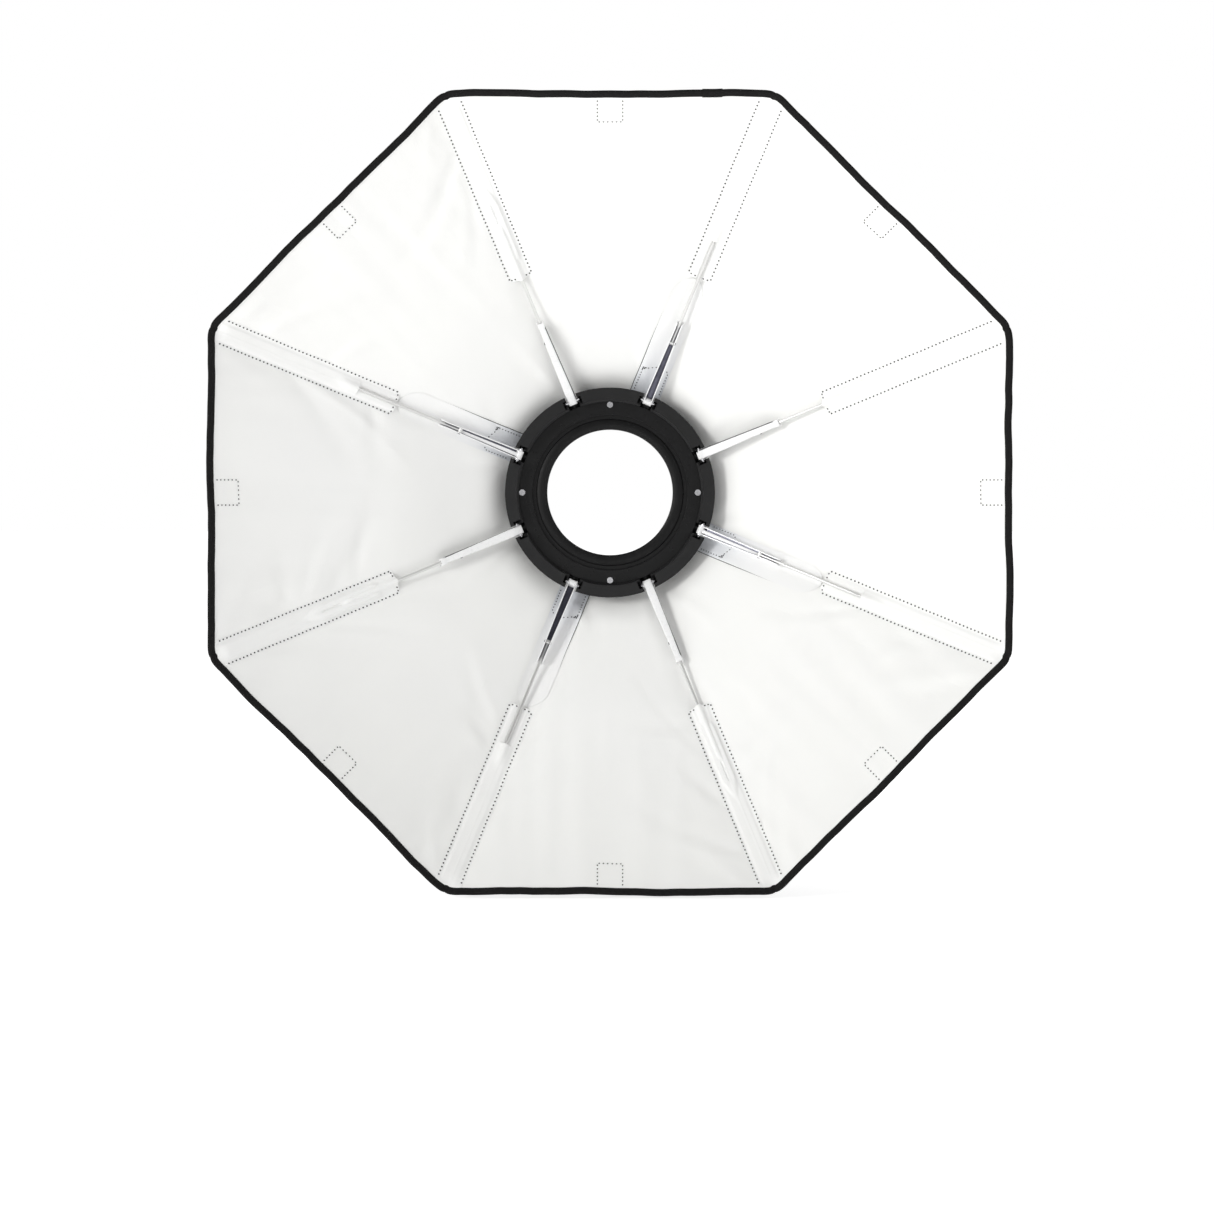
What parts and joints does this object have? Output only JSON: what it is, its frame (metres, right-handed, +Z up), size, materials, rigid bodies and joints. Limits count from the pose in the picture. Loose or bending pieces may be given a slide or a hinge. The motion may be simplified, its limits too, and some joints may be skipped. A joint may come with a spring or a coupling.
{
  "type": "studio softbox",
  "caption": "Collapsible octagonal beauty dish of white coated cloth on sprung folding arms, with a clamp-on speed ring for a studio flash head.",
  "frame": {"origin": "on the optical axis, inside the bore of the rubber collar", "axes": "+Y along the collar's bore, out of its mouth towards the flash head; the dish opens towards -Y; +Z up"},
  "size_m": [0.61, 0.1893, 0.61],
  "materials": {
    "rubber": "matt moulded rubber",
    "moulding": "satin moulded",
    "gloss_moulding": "polished moulded",
    "flange": "satin with fine grain",
    "pin_steel": "plated",
    "red_ink": "printed",
    "green_ink": "printed",
    "blue_ink": "printed",
    "white_ink": "printed",
    "cloth": "smooth coated",
    "pocket_cloth": "smooth coated",
    "strap_cloth": "smooth coated",
    "tape": "woven",
    "channel_paint": "gloss",
    "rod_steel": "bright"
  },
  "bodies": {
    "hub": {"rubber_collar": "rubber", "clamp_hub": "moulding", "clamp_band": "moulding", "band_buckle": "moulding", "band_catch": "moulding", "latch_pin": "pin_steel"},
    "lever": {"latch_lever": "gloss_moulding"},
    "link": {"latch_link": "pin_steel"},
    "ring": {"socket_flange": "flange", "retaining_ring": "moulding", "ring_screws": "pin_steel", "dots_red": "red_ink", "dots_green": "green_ink", "dots_blue": "blue_ink", "dots_white": "white_ink"},
    "dish": {"opening_tape": "tape"},
    "arm_1": {"canopy_1": "cloth", "pocket_1": "pocket_cloth", "arm_channel_1": "channel_paint", "arm_rod_1": "rod_steel", "rim_tape_1": "tape"},
    "arm_2": {"canopy_2": "cloth", "pocket_2": "pocket_cloth", "arm_channel_2": "channel_paint", "arm_rod_2": "rod_steel", "rim_tape_2": "tape", "strap_2": "strap_cloth"},
    "arm_3": {"canopy_3": "cloth", "pocket_3": "pocket_cloth", "arm_channel_3": "channel_paint", "arm_rod_3": "rod_steel", "rim_tape_3": "tape"},
    "arm_4": {"canopy_4": "cloth", "pocket_4": "pocket_cloth", "arm_channel_4": "channel_paint", "arm_rod_4": "rod_steel", "rim_tape_4": "tape", "strap_4": "strap_cloth"},
    "arm_5": {"canopy_5": "cloth", "pocket_5": "pocket_cloth", "arm_channel_5": "channel_paint", "arm_rod_5": "rod_steel", "rim_tape_5": "tape"},
    "arm_6": {"canopy_6": "cloth", "pocket_6": "pocket_cloth", "arm_channel_6": "channel_paint", "arm_rod_6": "rod_steel", "rim_tape_6": "tape", "strap_6": "strap_cloth"},
    "arm_7": {"canopy_7": "cloth", "pocket_7": "pocket_cloth", "arm_channel_7": "channel_paint", "arm_rod_7": "rod_steel", "rim_tape_7": "tape"},
    "arm_8": {"canopy_8": "cloth", "pocket_8": "pocket_cloth", "arm_channel_8": "channel_paint", "arm_rod_8": "rod_steel", "rim_tape_8": "tape", "strap_8": "strap_cloth"}
  },
  "joints": [
    {"name": "lever_swing", "type": "hinge", "parent": "hub", "child": "lever", "pos_m": [-0.0033, 0.013, 0.06291], "axis": [0, -1, 0], "range_deg": [0, 110]},
    {"name": "link_swing", "type": "hinge", "parent": "lever", "child": "link", "pos_m": [0.00879, 0.013, 0.06253], "axis": [0, 1, 0], "range_deg": [0, 100]},
    {"name": "ring_turn", "type": "hinge", "parent": "hub", "child": "ring", "pos_m": [0, -0.005, 0], "axis": [0, 1, 0], "continuous": true},
    {"name": "dish_release", "type": "slide", "parent": "ring", "child": "dish", "axis": [0, -1, 0], "range_m": [0, 0.1], "deforming": ["opening_tape"]},
    {"name": "fold_1", "type": "hinge", "parent": "dish", "child": "arm_1", "pos_m": [0.07206, -0.017, 0.02985], "axis": [0.3827, 0, -0.9239], "range_deg": [0, 48], "deforming": ["canopy_1", "rim_tape_1"]},
    {"name": "fold_2", "type": "hinge", "parent": "dish", "child": "arm_2", "pos_m": [0.02985, -0.017, 0.07206], "axis": [0.9239, 0, -0.3827], "range_deg": [0, 48], "deforming": ["canopy_2", "rim_tape_2"]},
    {"name": "fold_3", "type": "hinge", "parent": "dish", "child": "arm_3", "pos_m": [-0.02985, -0.017, 0.07206], "axis": [0.9239, 0, 0.3827], "range_deg": [0, 48], "deforming": ["canopy_3", "rim_tape_3"]},
    {"name": "fold_4", "type": "hinge", "parent": "dish", "child": "arm_4", "pos_m": [-0.07206, -0.017, 0.02985], "axis": [0.3827, 0, 0.9239], "range_deg": [0, 48], "deforming": ["canopy_4", "rim_tape_4"]},
    {"name": "fold_5", "type": "hinge", "parent": "dish", "child": "arm_5", "pos_m": [-0.07206, -0.017, -0.02985], "axis": [-0.3827, 0, 0.9239], "range_deg": [0, 48], "deforming": ["canopy_5", "rim_tape_5"]},
    {"name": "fold_6", "type": "hinge", "parent": "dish", "child": "arm_6", "pos_m": [-0.02985, -0.017, -0.07206], "axis": [-0.9239, 0, 0.3827], "range_deg": [0, 48], "deforming": ["canopy_6", "rim_tape_6"]},
    {"name": "fold_7", "type": "hinge", "parent": "dish", "child": "arm_7", "pos_m": [0.02985, -0.017, -0.07206], "axis": [-0.9239, 0, -0.3827], "range_deg": [0, 48], "deforming": ["canopy_7", "rim_tape_7"]},
    {"name": "fold_8", "type": "hinge", "parent": "dish", "child": "arm_8", "pos_m": [0.07206, -0.017, -0.02985], "axis": [-0.3827, 0, -0.9239], "range_deg": [0, 48], "deforming": ["canopy_8", "rim_tape_8"]}
  ],
  "couplings": [
    {"joint": "fold_2", "follows": "fold_1", "ratio": 1},
    {"joint": "fold_3", "follows": "fold_1", "ratio": 1},
    {"joint": "fold_4", "follows": "fold_1", "ratio": 1},
    {"joint": "fold_5", "follows": "fold_1", "ratio": 1},
    {"joint": "fold_6", "follows": "fold_1", "ratio": 1},
    {"joint": "fold_7", "follows": "fold_1", "ratio": 1},
    {"joint": "fold_8", "follows": "fold_1", "ratio": 1},
    {"joint": "link_swing", "follows": "lever_swing", "ratio": 0.9}
  ]
}
